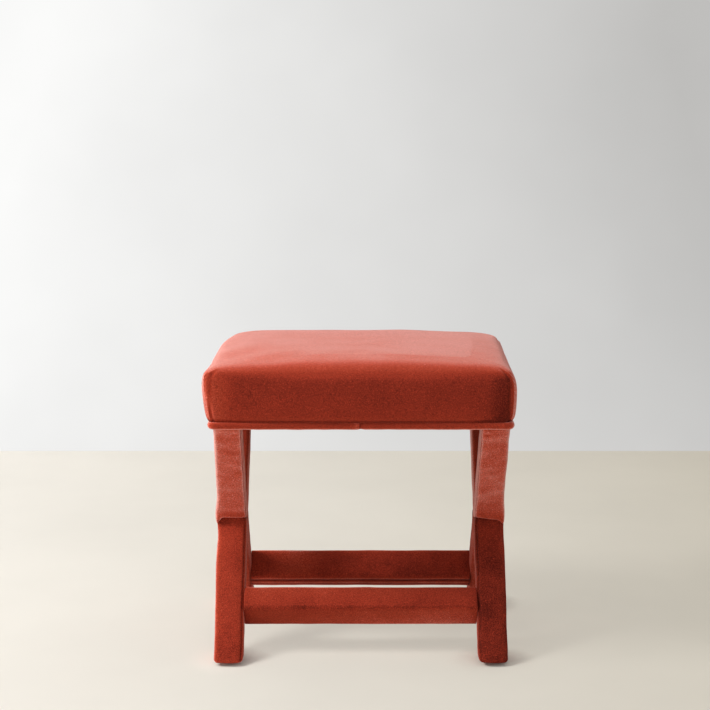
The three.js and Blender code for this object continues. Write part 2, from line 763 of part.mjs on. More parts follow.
for (const [endName, end] of stoolEnds) {
  addPiece(`${endName}_stretcher_core`, stretcherCore(end), hardwood)
  addPiece(`${endName}_stretcher_wadding`, stretcherWadding(end), wadding)
  addPiece(`${endName}_stretcher_velvet`, stretcherVelvet(end), velvet)
}

export default stool
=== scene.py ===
import json
import math

import bmesh
import bpy
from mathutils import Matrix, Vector, noise


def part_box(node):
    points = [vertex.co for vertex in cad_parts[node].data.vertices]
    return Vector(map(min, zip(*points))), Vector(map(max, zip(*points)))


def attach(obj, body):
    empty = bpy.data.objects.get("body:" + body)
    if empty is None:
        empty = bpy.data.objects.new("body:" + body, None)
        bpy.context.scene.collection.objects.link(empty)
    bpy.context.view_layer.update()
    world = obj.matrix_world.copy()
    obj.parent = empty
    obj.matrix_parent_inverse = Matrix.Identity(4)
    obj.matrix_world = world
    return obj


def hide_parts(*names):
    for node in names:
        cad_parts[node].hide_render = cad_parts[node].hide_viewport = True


# Upholstered vanity stool. Lengths are in millimetres unless a name ends in _m.
MM = 0.001

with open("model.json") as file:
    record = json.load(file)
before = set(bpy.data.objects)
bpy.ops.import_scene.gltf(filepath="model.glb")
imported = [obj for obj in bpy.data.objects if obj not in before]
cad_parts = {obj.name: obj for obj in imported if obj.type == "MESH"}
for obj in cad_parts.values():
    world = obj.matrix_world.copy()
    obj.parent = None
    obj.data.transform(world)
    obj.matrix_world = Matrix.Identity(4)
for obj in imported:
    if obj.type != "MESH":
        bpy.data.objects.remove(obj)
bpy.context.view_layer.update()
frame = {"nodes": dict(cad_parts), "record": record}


# Sizes read from the frame

def node_box(name):
    """A CAD node's lowest and highest corners, in millimetres."""
    low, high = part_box(name)
    return low / MM, high / MM


seat_low, seat_high = node_box("seat_cover")
welt_low, welt_high = node_box("welt_strip")
padding_low, padding_high = node_box("seat_wadding")
cloth_low, cloth_high = node_box("dust_cover")
foot_low, foot_high = node_box("right_front_lower_leg_velvet")
arm_low, arm_high = node_box("right_front_upper_leg_velvet")
bar_low, bar_high = node_box("front_stretcher_velvet")

# Seat cover
SEAT_BOW = 3.0
SEAT_CORNER_RADIUS = 17.0
TOP_CORNER_FULLNESS = {"left": 4.0, "right": 0.5}   # at the front
CROWN_RISE = 3.6                # the cushion stands this far over its frame's box
SEAM_SHIFTS = (8.5, 5.0)        # the front seams, left and right, lie this far towards the middle
LEFT_SEAM_LEAN = 3.0            # the front left one runs this far outwards towards its foot
CORNER_SEAM_DEPTH = 2.4
CORNER_SEAM_WIDTH = 1.3
SEAT_CUTS = 55
PADDING_CUTS = 31
PADDING_DEPTH = 2.6             # from the cover's face to the wadding's
PADDING_THICKNESS = 5.0
LEG_PADDING_DEPTH = 3.0
SEAM_CLEARANCE = 5.0            # how much deeper the wadding lies at a corner
SEAT_LEAN = 3.5                 # at the front left
SEAT_SPREAD = 2.6               # at the rear right

# Legs and stretchers, over the velvet
LEG_WIDTH = 50.0
BAR_EDGE_RADIUS = 8.0
BAR_BOW = 1.0
TUCK = 0.4                      # one cover's end reaches this far under the next
FOLD_RISE = 8.0                 # the front tuck lies this far above the crossing
FOLD_DEPTH = 4.5                # the lower cover's front lies this far behind it
LOBE_DROPS = {-1: (13.0, 0.0), 1: (8.0, 6.0)}   # how far its outer edge hangs, and how far the fold slopes
STRETCHER_WIDTHS = {"front": 49.5, "rear": 52.5}
STRETCHER_THICKNESS = 46.5
STRETCHER_HEIGHT = 77.0
STRETCHER_LIFT = {"front": -2.0, "rear": 3.8}   # one is padded more fully below, the other above

leg_thickness = foot_high.x - foot_low.x
leg_middle = (foot_high.x + foot_low.x) / 2
frame_half_depth = -foot_low.y
crossing_height = (foot_low.z + arm_high.z) / 2
frame_half_height = arm_high.z - crossing_height
diagonal = 2 * math.hypot(frame_half_depth, frame_half_height)
leg_tilt = math.acos(LEG_WIDTH / diagonal) - math.atan2(frame_half_height, frame_half_depth)
lean_sin = math.sin(leg_tilt)
lean_cos = math.cos(leg_tilt)
foot_reach = frame_half_depth - LEG_WIDTH / 2 / lean_cos


# Small maths

def ease(value):
    """Spreads even steps from -1 to 1 so that they crowd together at both ends."""
    return math.sin(math.pi / 2 * value)


def smooth_step(value, low, high):
    share = min(max((value - low) / (high - low), 0.0), 1.0)
    return share * share * (3 - 2 * share)


def bump(value, middle, width):
    """A soft rise that is 1 in its middle."""
    return math.exp(-((value - middle) / width) ** 2)


def waves(point, length, seed):
    """Smooth unevenness from about -1 to 1, with waves of the given length."""
    return noise.noise(Vector(point) / length + Vector((seed, seed, seed)))


def follow(points, share):
    """A smooth line through the points, which are pairs of numbers."""
    spans = len(points) - 1
    at = min(share * spans, spans - 1e-9)
    i = int(at)
    t = at - i
    before, here, after = points[max(i - 1, 0)], points[i], points[i + 1]
    beyond = points[min(i + 2, spans)]
    return [
        0.5 * (2 * b + (c - a) * t + (2 * a - 5 * b + 4 * c - d) * t * t + (3 * b - a - 3 * c + d) * t ** 3)
        for a, b, c, d in zip(before, here, after, beyond)
    ]


def rounded_ring(across, along, half_x, half_y, radius, bow):
    """Moves a point of a unit square to its place on a form with rounded corners and bowed sides."""
    ring = max(abs(across), abs(along), 1e-6)
    p, q = across / ring, along / ring
    flat_x, flat_y = half_x - bow - radius, half_y - bow - radius
    share_x = min(1.0, abs(p) * (half_x - bow) / flat_x)
    share_y = min(1.0, abs(q) * (half_y - bow) / flat_y)
    x, y = p * (half_x - bow * share_y ** 2), q * (half_y - bow * share_x ** 2)
    over_x, over_y = abs(x) - flat_x, abs(y) - flat_y
    if over_x > 0 and over_y > 0:
        length = math.hypot(over_x, over_y)
        x = math.copysign(flat_x + radius * over_x / length, x)
        y = math.copysign(flat_y + radius * over_y / length, y)
    return ring * x, ring * y


# Mesh helpers

def divided_block(cuts_x, cuts_y, cuts_z):
    """A cube from -1 to 1 whose faces are even grids."""
    bm = bmesh.new()
    bmesh.ops.create_cube(bm, size=2)
    for axis, cuts in enumerate((cuts_x, cuts_y, cuts_z)):
        edges = [e for e in bm.edges if abs((e.verts[1].co - e.verts[0].co).normalized()[axis]) > 0.9]
        bmesh.ops.subdivide_edges(bm, edges=edges, cuts=cuts, use_grid_fill=True)
    return bm


def shape(bm, place):
    """Puts each vertex where place(x, y, z) says, and gives it its value of painted light and shade."""
    nap_and_painted_light = bm.verts.layers.float.new("nap_and_painted_light")
    for vertex in bm.verts:
        point, painted_light_value = place(*vertex.co)
        vertex.co = point
        vertex[nap_and_painted_light] = painted_light_value
    bmesh.ops.recalc_face_normals(bm, faces=bm.faces)
    bm.normal_update()


def unevenness(bm, amounts, seed):
    """Pushes the faces in and out by smooth waves, given as pairs of height and length."""
    moves = [
        sum(height * waves(v.co, length, seed + length) for height, length in amounts) for v in bm.verts
    ]
    for vertex, move in zip(bm.verts, moves):
        vertex.co += vertex.normal * move


def finish_piece(bm, name, material, nodes=(), levels=0):
    """Makes a piece in metres from a mesh in millimetres. It rides on the stool and stands for CAD nodes."""
    bmesh.ops.scale(bm, vec=(MM, MM, MM), verts=bm.verts)
    mesh = bpy.data.meshes.new(name)
    bm.to_mesh(mesh)
    bm.free()
    for polygon in mesh.polygons:
        polygon.use_smooth = True
    mesh.materials.append(material)
    piece = bpy.data.objects.new(name, mesh)
    bpy.context.scene.collection.objects.link(piece)
    if levels:
        subdivision = piece.modifiers.new("smooth", "SUBSURF")
        subdivision.levels = levels
        subdivision.render_levels = levels
    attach(piece, "root")
    if nodes:
        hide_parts(*nodes)
    return piece


# Materials

def linear(hex_text):
    """An sRGB hex colour as linear red, green, blue and alpha."""
    channels = [int(hex_text[i:i + 2], 16) / 255 for i in (1, 3, 5)]
    return [c / 12.92 if c <= 0.04045 else ((c + 0.055) / 1.055) ** 2.4 for c in channels] + [1.0]


def add_node(tree, kind, settings=None, inputs=None):
    """Adds a node with its settings, and sets or links its inputs."""
    node = tree.nodes.new(kind)
    for name, value in (settings or {}).items():
        setattr(node, name, value)
    for name, value in (inputs or {}).items():
        if isinstance(value, bpy.types.NodeSocket):
            tree.links.new(value, node.inputs[name])
        else:
            node.inputs[name].default_value = value
    return node


def new_material(name):
    """An empty material with its tree, and object coordinates in millimetres."""
    material = bpy.data.materials.new(name)
    material.use_nodes = True
    tree = material.node_tree
    tree.nodes.clear()
    place = add_node(tree, "ShaderNodeTexCoord")
    scaled = add_node(tree, "ShaderNodeVectorMath", {"operation": "SCALE"}, {
        "Vector": place.outputs["Object"], "Scale": 1 / MM
    })
    return material, tree, scaled.outputs["Vector"]


def surface(tree, inputs):
    shader = add_node(tree, "ShaderNodeBsdfPrincipled", None, inputs)
    add_node(tree, "ShaderNodeOutputMaterial", None, {"Surface": shader.outputs["BSDF"]})
    return shader


def noise_value(tree, place, size, detail=3.0, roughness=0.55):
    """Noise whose spots are about size millimetres wide."""
    spots = add_node(tree, "ShaderNodeTexNoise", None, {
        "Vector": place, "Scale": 1 / size, "Detail": detail, "Roughness": roughness
    })
    return spots.outputs["Fac"]


def remap(tree, value, low, high, to_low, to_high):
    mapped = add_node(tree, "ShaderNodeMapRange", None, {
        "Value": value, "From Min": low, "From Max": high, "To Min": to_low, "To Max": to_high
    })
    return mapped.outputs["Result"]


def maths(tree, operation, first, second):
    return add_node(tree, "ShaderNodeMath", {"operation": operation}, {0: first, 1: second}).outputs[0]


def mix_colour(tree, factor, first, second, blend="MIX"):
    mixed = add_node(tree, "ShaderNodeMix", {"data_type": "RGBA", "blend_type": blend}, {
        "Factor": factor, 6: first, 7: second
    })
    return mixed.outputs[2]


def bumped(tree, height, distance_m, strength=1.0):
    return add_node(tree, "ShaderNodeBump", None, {
        "Height": height, "Distance": distance_m, "Strength": strength
    }).outputs["Normal"]


def ramp(tree, value, stops):
    """A colour read off a line of stops, each a place from 0 to 1 and a colour."""
    line = add_node(tree, "ShaderNodeValToRGB", None, {"Fac": value})
    elements = line.color_ramp.elements
    for element, (at, colour) in zip(elements, (stops[0], stops[-1])):
        element.position = at
        element.color = linear(colour)
    for at, colour in stops[1:-1]:
        elements.new(at).color = linear(colour)
    return line.outputs["Color"]


# Painted sheen and shade in the velvet's colour: from the eye looking straight into the pile to the eye
# skimming over it, with painted shade in the stops under PILE_START
VELVET_SHADE_AND_SHEEN_COLOURS = (
    (0.0, "#551509"), (0.13, "#7d2616"), (0.20, "#8e2d1b"), (0.37, "#9b3621"), (0.53, "#ac422e"),
    (0.65, "#bd5442"), (0.76, "#c86858"), (0.825, "#ce7a6c"), (0.86, "#d0877c"), (1.0, "#d69086")
)
PILE_START = 0.13               # the stop for looking straight into upright pile


def cotton_velvet(name, tuft_size, grain, mottle):
    """Short-pile cotton velvet with painted sheen: dark seen square on, pale where the eye skims over the pile.

    The nap_and_painted_light value of a vertex carries painted light and shade: below 0 it paints shade,
    below -1 deep painted shade in creases, in seams and under folds, and above 0 a painted highlight over
    a fold or beside a seam. Grain is how strongly the tufts show, and mottle is how much the pile leans
    this way and that in patches.
    """
    material, tree, place = new_material(name)
    # Painted sheen: the colour grows paler as the surface turns away from the eye
    facing = add_node(tree, "ShaderNodeLayerWeight", None, {"Blend": 0.5}).outputs["Facing"]
    nap_and_painted_light = add_node(tree, "ShaderNodeAttribute", {"attribute_name": "nap_and_painted_light"}).outputs["Fac"]
    # Painted light: under 0 the sheen is taken away, under -1 it reaches the darkest shade, over 0 a highlight
    painted_sheen_share = remap(tree, nap_and_painted_light, -1.0, 0.0, 0.0, 1.0 - PILE_START)
    pile_tone_and_painted_light = maths(tree, "MULTIPLY", facing, painted_sheen_share)
    pile_tone_and_painted_light = maths(tree, "ADD", pile_tone_and_painted_light, remap(tree, nap_and_painted_light, 0.0, 1.0, 0.0, 0.5))
    pile_tone_and_painted_light = maths(tree, "ADD", pile_tone_and_painted_light, remap(tree, nap_and_painted_light, -2.0, -1.0, 0.0, PILE_START))
    patches = remap(tree, noise_value(tree, place, 50.0, 3.0), 0.3, 0.7, -mottle, mottle)
    pile_tone_and_painted_light = maths(tree, "ADD", pile_tone_and_painted_light, patches)
    # Tufts are about 0.4 mm, in upright rows; they are drawn wider to show at this distance
    rows = add_node(tree, "ShaderNodeVectorMath", {"operation": "MULTIPLY"}, {
        0: place, 1: (1.0, 1.0, 0.62)
    }).outputs["Vector"]
    tufts = noise_value(tree, rows, tuft_size, 1.0, 0.6)
    pile_tone_and_painted_light = maths(tree, "ADD", pile_tone_and_painted_light, remap(tree, tufts, 0.25, 0.75, -0.1 * grain, 0.1 * grain))
    specks = noise_value(tree, rows, 1.2 * tuft_size, 1.0, 0.6)
    pile_tone_and_painted_light = maths(tree, "ADD", pile_tone_and_painted_light, remap(tree, specks, 0.6, 0.74, 0.0, 0.25 * grain))
    shades = noise_value(tree, rows, 1.05 * tuft_size, 1.0, 0.6)
    speckle = remap(tree, shades, 0.3, 0.7, 1 - 0.38 * grain, 1 + 0.36 * grain)
    colour = mix_colour(tree, 1.0, ramp(tree, pile_tone_and_painted_light, VELVET_SHADE_AND_SHEEN_COLOURS), speckle, "MULTIPLY")
    normal = bumped(tree, noise_value(tree, place, 1.3, 2.0, 0.6), 0.0006, 0.5)
    surface(tree, {
        "Base Color": colour, "Roughness": 0.92, "Specular IOR Level": 0.12, "Sheen Weight": 0.25,
        "Sheen Roughness": 0.3, "Sheen Tint": linear("#f7b3a6"), "Normal": normal
    })
    return material


def black_cambric():
    """Non-woven dust cloth: matt black with a pressed pattern of small dots."""
    material, tree, place = new_material("black_cambric")
    dots = add_node(tree, "ShaderNodeTexVoronoi", None, {"Vector": place, "Scale": 1 / 2.4})
    fibres = noise_value(tree, place, 3.0, 6.0, 0.8)
    colour = mix_colour(tree, fibres, linear("#0d0d0e"), linear("#26262a"))
    normal = bumped(tree, dots.outputs["Distance"], 0.0004, 0.7)
    surface(tree, {"Base Color": colour, "Roughness": 0.95, "Specular IOR Level": 0.2, "Normal": normal})
    return material


def moulded_nylon():
    """Moulded black nylon: an even satin with faint flow marks."""
    material, tree, place = new_material("moulded_nylon")
    marks = noise_value(tree, place, 6.0, 4.0)
    colour = mix_colour(tree, marks, linear("#16130f"), linear("#2b2522"))
    surface(tree, {
        "Base Color": colour, "Roughness": remap(tree, marks, 0.3, 0.7, 0.38, 0.52), "IOR": 1.53,
        "Normal": bumped(tree, noise_value(tree, place, 0.8), 0.0001, 0.4)
    })
    return material


def zinc_steel():
    """Zinc-plated steel: bright grey with faint mottling."""
    material, tree, place = new_material("zinc_plated_steel")
    mottle = noise_value(tree, place, 2.5, 4.0)
    colour = mix_colour(tree, mottle, linear("#a4a8ad"), linear("#c9ccd0"))
    surface(tree, {
        "Base Color": colour, "Metallic": 1.0, "Roughness": remap(tree, mottle, 0.3, 0.7, 0.28, 0.45)
    })
    return material


def planed_beech():
    """Planed beech: straight pale grain with short dark flecks."""
    material, tree, place = new_material("planed_beech")
    stretched = add_node(tree, "ShaderNodeMapping", None, {"Vector": place, "Scale": (1.0, 0.12, 0.12)})
    grain = noise_value(tree, stretched.outputs["Vector"], 2.2, 5.0)
    flecks = noise_value(tree, stretched.outputs["Vector"], 0.9, 2.0)
    colour = mix_colour(tree, grain, linear("#b98f63"), linear("#d3ac80"))
    colour = mix_colour(tree, remap(tree, flecks, 0.62, 0.7, 0.0, 0.5), colour, linear("#8a6238"))
    surface(tree, {"Base Color": colour, "Roughness": 0.6, "Normal": bumped(tree, grain, 0.0002, 0.4)})
    return material


def birch_plywood():
    """Birch plywood: thin layers at the edges, pale flat grain on the faces."""
    material, tree, place = new_material("birch_plywood")
    plies = add_node(tree, "ShaderNodeTexWave", {"bands_direction": "Z"}, {
        "Vector": place, "Scale": 0.11, "Distortion": 0.6, "Detail": 2.0
    })
    grain = noise_value(tree, place, 7.0, 5.0)
    face = mix_colour(tree, grain, linear("#c9a878"), linear("#e0c699"))
    colour = mix_colour(tree, maths(tree, "MULTIPLY", plies.outputs["Fac"], 0.35), face, linear("#9a7446"))
    surface(tree, {"Base Color": colour, "Roughness": 0.65, "Normal": bumped(tree, grain, 0.0002, 0.4)})
    return material


def cut_foam():
    """Cut polyurethane foam: a cream sponge of tiny cells."""
    material, tree, place = new_material("cut_foam")
    cells = add_node(tree, "ShaderNodeTexVoronoi", None, {"Vector": place, "Scale": 1 / 1.6})
    colour = mix_colour(tree, cells.outputs["Distance"], linear("#c9b97c"), linear("#efe4b4"))
    normal = bumped(tree, cells.outputs["Distance"], 0.0005, 0.8)
    surface(tree, {"Base Color": colour, "Roughness": 1.0, "Normal": normal})
    return material


def polyester_wadding():
    """Polyester wadding: soft white fibres."""
    material, tree, place = new_material("polyester_wadding")
    fibres = noise_value(tree, place, 4.0, 8.0, 0.8)
    colour = mix_colour(tree, fibres, linear("#dddbd3"), linear("#f6f5f0"))
    surface(tree, {
        "Base Color": colour, "Roughness": 1.0, "Sheen Weight": 0.3, "Normal": bumped(tree, fibres, 0.001, 0.6)
    })
    return material


def cotton_cord():
    """Twisted cotton piping cord: off-white strands."""
    material, tree, place = new_material("cotton_cord")
    twist = add_node(tree, "ShaderNodeTexWave", {"bands_direction": "DIAGONAL"}, {
        "Vector": place, "Scale": 0.12, "Distortion": 0.5
    })
    colour = mix_colour(tree, twist.outputs["Fac"], linear("#cfc8b6"), linear("#f0ebdf"))
    normal = bumped(tree, twist.outputs["Fac"], 0.0008, 0.8)
    surface(tree, {"Base Color": colour, "Roughness": 1.0, "Normal": normal})
    return material


velvet = cotton_velvet("cotton_velvet", 1.1, 0.95, 0.02)
tight_velvet = cotton_velvet("cotton_velvet_pulled_tight", 1.35, 1.0, 0.07)
cambric = black_cambric()
nylon = moulded_nylon()
steel = zinc_steel()
beech = planed_beech()
plywood = birch_plywood()
foam = cut_foam()
wadding = polyester_wadding()
cotton = cotton_cord()


# Camera, as the photograph was taken

CAMERA_PLACE = (-9.4, -3147.0, 1007.0)
CAMERA_PITCH = math.radians(9.54)
SENSOR_WIDTH = 36.0
FOCAL_LENGTH = 96.69


def make_camera():
    lens = bpy.data.cameras.new("camera")
    lens.sensor_width = SENSOR_WIDTH
    lens.lens = FOCAL_LENGTH
    camera = bpy.data.objects.new("camera", lens)
    bpy.context.scene.collection.objects.link(camera)
    camera.location = Vector(CAMERA_PLACE) * MM
    camera.rotation_euler = (math.pi / 2 - CAMERA_PITCH, 0, 0)
    bpy.context.scene.camera = camera


make_camera()


# Seat cover: one cushion form, tight over foam, with a sewn seam down each corner

# Inset from the fullest part and height, up the middle of a side and up a corner
seat_base = welt_high.z - 3.0
crown_top = seat_high.z + CROWN_RISE
END_PROFILE = (
    (8.0, seat_base), (3.0, seat_base + 7), (0.8, seat_base + 20), (0.0, seat_base + 34),
    (0.4, seat_base + 50), (2.6, seat_base + 65), (7.2, crown_top - 25.0), (17.5, crown_top - 15.2),
    (39.0, crown_top - 6.6), (82.0, crown_top - 1.8)
)
SIDE_PROFILE = (
    (8.0, seat_base), (3.0, seat_base + 7), (0.8, seat_base + 20), (0.0, seat_base + 34),
    (1.0, seat_base + 49), (3.6, seat_base + 61), (8.0, seat_base + 72), (14.0, crown_top - 17.0),
    (28.0, crown_top - 8.0), (64.0, crown_top - 2.4)
)
LOWER_CORNER = (
    (8.0, seat_base), (5.0, seat_base + 7), (2.5, seat_base + 20), (0.8, seat_base + 36),
    (0.0, seat_base + 52)
)
FRONT_LEFT_CORNER = LOWER_CORNER + (
    (1.0, seat_base + 66), (4.0, crown_top - 22.0), (11.5, crown_top - 15.5), (28.0, crown_top - 10.5),
    (66.0, crown_top - 5.5)
)
FRONT_RIGHT_CORNER = (
    (8.0, seat_base), (3.5, seat_base + 7), (1.3, seat_base + 20), (0.2, seat_base + 36),
    (0.0, seat_base + 52), (2.0, seat_base + 66), (7.0, crown_top - 22.0), (14.5, crown_top - 15.5),
    (30.0, crown_top - 10.0), (66.0, crown_top - 5.5)
)
REAR_LEFT_CORNER = LOWER_CORNER + (
    (1.0, crown_top - 40.8), (9.6, crown_top - 29.0), (12.4, crown_top - 25.4), (35.4, crown_top - 8.5),
    (71.4, crown_top - 3.2)
)
REAR_RIGHT_CORNER = LOWER_CORNER + (
    (1.7, crown_top - 32.9), (6.6, crown_top - 27.1), (14.3, crown_top - 18.1), (37.3, crown_top - 10.3),
    (73.8, crown_top - 5.5)
)
# A corner's profile, its radius at the top and how flat the crown stays towards it
CORNERS = {
    ("front", "left"): (FRONT_LEFT_CORNER, 24.0, 4.0),
    ("front", "right"): (FRONT_RIGHT_CORNER, 30.0, 4.0),
    ("rear", "left"): (REAR_LEFT_CORNER, 40.7, 7.3), ("rear", "right"): (REAR_RIGHT_CORNER, 32.3, 3.6)
}
CROWN_POWER = 4.0


def seat_place(depth):
    """Gives the place of a block's point on the cushion, at a depth under the cover's face."""
    def place(u, v, w):
        across, along = ease(u), ease(v)
        ring = max(abs(across), abs(along))
        top = w > 0.999
        if top or w < -0.999:
            p, q = (across / ring, along / ring) if ring else (0.0, 0.0)
        else:
            p, q, ring = across, along, 1.0
        corner = smooth_step(abs(p * q), 0.3, 1.0)
        end_name, side_name = "rear" if q > 0 else "front", "right" if p > 0 else "left"
        corner_profile, top_radius, power = CORNERS[end_name, side_name]
        on_end = 0.5 + 0.5 * (q * q - p * p)
        level = (w + 1) / 2
        side = follow(SIDE_PROFILE, level)
        inset, height = (
            a + on_end * (b - a) + corner * (c - a - on_end * (b - a))
            for a, b, c in zip(side, follow(END_PROFILE, level), follow(corner_profile, level))
        )
        upper = smooth_step(level, 0.6, 1.0)
        radius = SEAT_CORNER_RADIUS + upper * (top_radius - SEAT_CORNER_RADIUS)
        if depth:
            inset += depth + SEAM_CLEARANCE * abs(p * q) ** 4
            height -= depth * smooth_step(level, 0.4, 1.0) + SEAM_CLEARANCE * upper * abs(p * q) ** 4
        x, y = rounded_ring(p, q, seat_high.x - inset, seat_high.y - inset, radius, SEAT_BOW)
        if not depth and q < 0:
            pulled = TOP_CORNER_FULLNESS[side_name] * bump(level, 0.66, 0.2) * abs(p * q) ** 8
            x += math.copysign(pulled, x)
            y += math.copysign(pulled, y)
        if top:
            power = CROWN_POWER + corner * (power - CROWN_POWER)
            height = crown_top - depth - (crown_top - depth - height) * ring ** power
            on_side = 1 - smooth_step(1 - ring, 0.0, 0.02)
        else:
            on_side = 0.0 if w < -0.999 else 1.0
        return Vector((x * ring, y * ring, height)), on_side
    return place


def seam_distance(x, y, z):
    """Distance from the nearest corner's seam, or a large number far from every corner."""
    if math.hypot(abs(x) - seat_high.x, abs(y) - seat_high.y) > 60:
        return 1000.0
    shift = SEAM_SHIFTS[x > 0] if y < 0 else 0.0
    if y < 0 and x < 0:
        shift -= LEFT_SEAM_LEAN * (1 - smooth_step(z, seat_base, seat_base + 50))
    return (abs(x) - abs(y) - (seat_high.x - seat_high.y)) / math.sqrt(2) + shift


def side_painted_light(x, y, z):
    """Painted light on the sides: a painted highlight at the front's left end, painted shade at its right end, left
    flank and hem.
    """
    front = smooth_step(-y, seat_high.y - 25, seat_high.y - 6) * (1 - smooth_step(z, crown_top - 32, crown_top - 14))
    # Painted highlight at the front's left end, painted shade over its right end
    ends = 0.5 * smooth_step(-x, seat_high.x - 60, seat_high.x - 16)
    ends -= 1.9 * smooth_step(x, seat_high.x - 75, seat_high.x - 25) * (1 - smooth_step(x, 233, 238))
    ends += 0.12 * smooth_step(-x, 235, 241) + 0.35 * smooth_step(x, 235, 241)
    # Painted shade along the left flank, behind the front
    flank = 0.22 * smooth_step(-x, seat_high.x - 14, seat_high.x - 6) * (1 - front)
    return front * ends - flank - 1.4 * (1 - smooth_step(z, seat_base + 2, seat_base + 7))


def top_painted_light(x):
    """Painted light on the top: a painted highlight towards its right end, painted shade along its left edge."""
    return 0.12 * smooth_step(x, 0, 160) - 0.25 * smooth_step(-x, 200, 235)


def sink_corner_seams(bm):
    """Draws the cover in along its four upright seams, with small puckers beside them, and paints light and shade on
    the cover.
    """
    moves = []
    nap_and_painted_light = bm.verts.layers.float["nap_and_painted_light"]
    seam_top = crown_top - 18.0
    for vertex in bm.verts:
        x, y, z = vertex.co
        side = vertex[nap_and_painted_light]
        off = seam_distance(x, y, z)
        # The attribute held the side share; now it takes the painted light of the sides and the top
        vertex[nap_and_painted_light] = side_painted_light(x, y, z) * side + top_painted_light(x) * (1 - side)
        # Painted shade beside the front left seam, towards the left flank, under the crown
        if x < 0 and y < 0 and off < 60:
            below = 1 - smooth_step(z, crown_top - 36, crown_top - 24)
            vertex[nap_and_painted_light] -= 0.22 * smooth_step(off, 0.5, 3.0) * below
        if abs(off) > 60 or not side:
            moves.append(0.0)
            continue
        high = smooth_step(z, seat_base + 20, seam_top)
        fade = side * (1 - smooth_step(z, seam_top - 2, seam_top + 5))
        wave = math.sin((z + 0.8 * off) / 1.25 + 4 * waves((x, y, z), 30.0, 6.0))
        pucker = 0.4 * wave * bump(off, 4.5, 4.0) * (0.35 + 0.65 * high)
        pucker += 0.8 * waves((z, 40 * (off > 0), x + y), 9.0, 3.0) * math.exp(-abs(off) / 8.0)
        sunk = -CORNER_SEAM_DEPTH * bump(off, 0.0, CORNER_SEAM_WIDTH)
        lip = 0.6 * bump(abs(off), 3.4, 1.5)
        pinch = -2.4 * bump(z, seam_top - 4, 4.5) * bump(off, -1.8, 2.2)
        moves.append((sunk + lip + pucker + pinch) * fade)
        # Painted highlights on the puckers' crests beside the seam, painted shade in the seam itself
        strength = 0.25 + 0.4 * waves((z, 10 * (x > 0), 0.0), 14.0, 9.0)
        painted_light = max(strength, 0.0) * bump(off, 4.5, 3.0) * max(wave, 0.0)
        vertex[nap_and_painted_light] += (painted_light - 1.2 * bump(off, 0.0, 1.2)) * fade
    for vertex, move in zip(bm.verts, moves):
        vertex.co += vertex.normal * move


def spread_stuffing(bm):
    """The stuffing stands a little further out at the front left and at the rear right."""
    for vertex in bm.verts:
        x, y, _ = vertex.co
        front = smooth_step(-y, -seat_high.y, seat_high.y)
        right = smooth_step(x, -seat_high.x, seat_high.x)
        vertex.co.x += SEAT_SPREAD * (1 - front) * right - SEAT_LEAN * front * (1 - right)


def cushion_form(cuts, depth):
    """The padded form of the seat at a depth under its cover, without its seams."""
    bm = divided_block(cuts, cuts, cuts)
    shape(bm, seat_place(depth))
    unevenness(bm, ((1.1, 120.0), (0.5, 45.0)), 2.0)
    bm.normal_update()
    return bm


def seat_padding():
    """The layer of wadding under the cover."""
    bm = cushion_form(PADDING_CUTS, PADDING_DEPTH)
    spread_stuffing(bm)
    bmesh.ops.bisect_plane(
        bm, geom=bm.verts[:] + bm.edges[:] + bm.faces[:], plane_co=(0, 0, padding_low.z),
        plane_no=(0, 0, 1), clear_inner=True
    )
    piece = finish_piece(bm, "seat_padding", wadding, ["seat_wadding"])
    layer = piece.modifiers.new("thickness", "SOLIDIFY")
    layer.thickness = PADDING_THICKNESS * MM


def seat_cover():
    bm = cushion_form(SEAT_CUTS, 0.0)
    sink_corner_seams(bm)
    spread_stuffing(bm)
    piece = finish_piece(bm, "seat_cushion_cover", velvet, ["seat_cover"], 1)


# Welt: velvet strip sewn round a cord

WELT_CORNER_RADIUS = 7.1
WELT_STEPS = 420
WELT_ROUND_STEPS = 16
CORD_RADIUS = 4.3
WELT_PROUD = 0.5                # the velvet's pile swells the piping sideways
WELT_DROP = 2.5                 # and its weight lets it down
welt_radius = (welt_high.z - welt_low.z) / 2 + 0.4


def outline_point(share, half_x, half_y, radius):
    """A point and its outward direction, at a share of the way round a rounded rectangle from its front middle."""
    flat_x, flat_y = half_x - radius, half_y - radius
    arc = math.pi / 2 * radius
    stretches = (flat_x, arc, 2 * flat_y, arc, 2 * flat_x, arc, 2 * flat_y, arc, flat_x)
    left = share * sum(stretches)
    turn = -math.pi / 2
    centre = Vector((0.0, -flat_y))
    for i, length in enumerate(stretches):
        straight = i % 2 == 0
        if left <= length or i == len(stretches) - 1:
            break
        left -= length
        if straight:
            centre += length * Vector((-math.sin(turn), math.cos(turn)))
        else:
            turn += math.pi / 2
    if straight:
        centre += left * Vector((-math.sin(turn), math.cos(turn)))
    else:
        turn += left / radius
    outward = Vector((math.cos(turn), math.sin(turn)))
    return centre + radius * outward, outward


